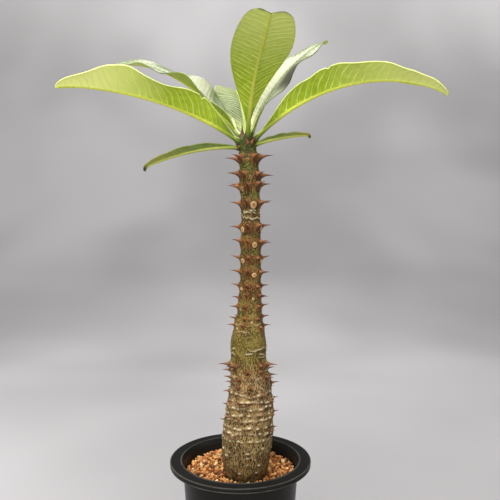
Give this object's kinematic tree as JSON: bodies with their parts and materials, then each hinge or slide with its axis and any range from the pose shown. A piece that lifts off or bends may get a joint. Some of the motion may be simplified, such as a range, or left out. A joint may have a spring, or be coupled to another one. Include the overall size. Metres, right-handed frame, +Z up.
{
  "type": "potted plant",
  "caption": "Young pachypodium: a thorny stem with a swollen base and a crown of long strap leaves, rooted in clay grains in a round nursery pot with a flat rim.",
  "frame": {"origin": "middle of the pot's underside, where it stands", "axes": "+Z up along the pot's axis; -Y is the plant's front, the side its picture was taken from; +X is to the right in that view"},
  "size_m": [0.2995, 0.2387, 0.4868],
  "materials": {
    "pot_plastic": "satin",
    "clay_grains": "rough unglazed",
    "bark": "rough below, smooth green above",
    "leaf_green": "glossy upper side"
  },
  "bodies": {
    "root": {"pot": "pot_plastic", "soil": "clay_grains", "stem": "bark", "leaf_front": "leaf_green", "leaf_back_right": "leaf_green", "leaf_right": "leaf_green", "leaf_left": "leaf_green", "leaf_back_left": "leaf_green", "leaf_back": "leaf_green", "leaf_low_left": "leaf_green", "leaf_low_right": "leaf_green"}
  },
  "joints": []
}
